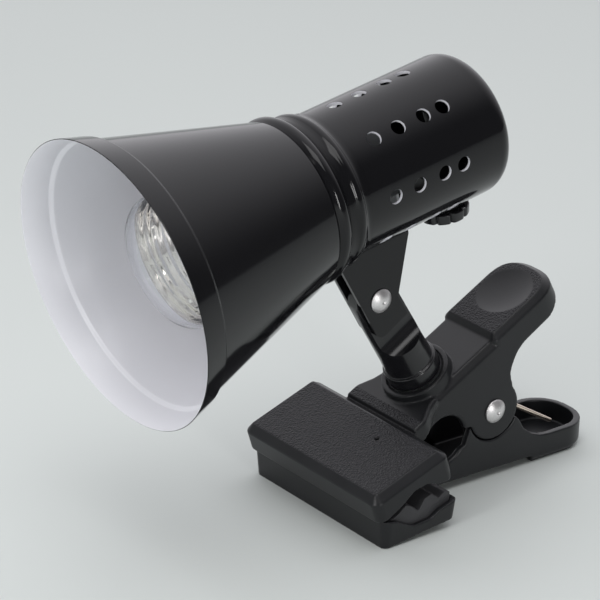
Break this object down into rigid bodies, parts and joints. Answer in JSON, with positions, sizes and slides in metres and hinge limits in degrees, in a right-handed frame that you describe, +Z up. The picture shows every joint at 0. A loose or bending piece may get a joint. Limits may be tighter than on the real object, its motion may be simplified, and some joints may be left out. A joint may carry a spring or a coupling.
{
  "type": "clip-on spot lamp",
  "caption": "Clip-on lamp: conical shade and vented housing on a tilting yoke and swivel post, carried by a spring clamp with wide jaws.",
  "frame": {"origin": "on the surface the lamp stands on, under the middle of its length, in its plane of symmetry", "axes": "+Z up; -X the way the shade looks at rest; +X towards the clamp's handles; Y across the jaws"},
  "size_m": [0.2296, 0.108, 0.1681],
  "materials": {
    "enamel": "gloss",
    "black_plastic": "satin",
    "zinc_steel": "satin",
    "grey_thermoplastic": "satin",
    "brass": "satin",
    "clear_glass": "polished",
    "silvered_glass": "polished",
    "nickel_brass": "satin",
    "tungsten": "satin",
    "gloss_knob": "gloss",
    "bright_rivet": "polished",
    "gloss_post": "gloss",
    "clamp_moulding": "satin",
    "grip_rubber": "matte",
    "spring_wire": "satin"
  },
  "bodies": {
    "lower_clamp": {"lower_lever": "clamp_moulding", "lower_grip": "grip_rubber", "pivot_rivet": "bright_rivet", "clamp_spring": "spring_wire"},
    "upper_clamp": {"upper_lever": "clamp_moulding", "upper_grip": "grip_rubber"},
    "swivel": {"post": "gloss_post", "post_washer": "zinc_steel", "post_spring": "zinc_steel", "post_screw": "zinc_steel"},
    "head": {"shade": "enamel", "housing": "enamel", "cord_gland": "black_plastic", "holder_bracket": "zinc_steel", "bracket_screws": "zinc_steel", "lampholder": "grey_thermoplastic", "holder_shell": "brass", "holder_contact": "brass", "switch_body": "black_plastic", "switch_collar": "black_plastic", "yoke": "enamel", "yoke_rivets": "zinc_steel", "tilt_rivet": "bright_rivet", "tilt_washers": "zinc_steel"},
    "knob": {"switch_knob": "gloss_knob"},
    "bulb": {"bulb_glass": "clear_glass", "bulb_reflector": "silvered_glass", "bulb_cap": "nickel_brass", "bulb_contact": "brass", "filament": "tungsten"}
  },
  "joints": [
    {"name": "clamp_pivot", "type": "hinge", "parent": "lower_clamp", "child": "upper_clamp", "pos_m": [0.06185, 0, 0.028], "axis": [0, 1, 0], "range_deg": [0, 65], "stiffness_Nm_per_rad": 0.6, "springref_deg": -57.3, "deforming": ["clamp_spring"]},
    {"name": "post_swivel", "type": "hinge", "parent": "upper_clamp", "child": "swivel", "pos_m": [0.03565, 0, 0.0433], "axis": [-0.5344, 0, 0.8453], "continuous": true},
    {"name": "head_tilt", "type": "hinge", "parent": "swivel", "child": "head", "pos_m": [0.01134, 0, 0.08176], "axis": [0, 1, 0], "range_deg": [-55, 45]},
    {"name": "bulb_turn", "type": "hinge", "parent": "head", "child": "bulb", "pos_m": [-0.01685, 0, 0.12891], "axis": [0.9789, 0, 0.2045], "continuous": true},
    {"name": "switch_turn", "type": "hinge", "parent": "head", "child": "knob", "pos_m": [0.04293, 0, 0.11026], "axis": [0.184, 0, -0.9829], "continuous": true}
  ]
}
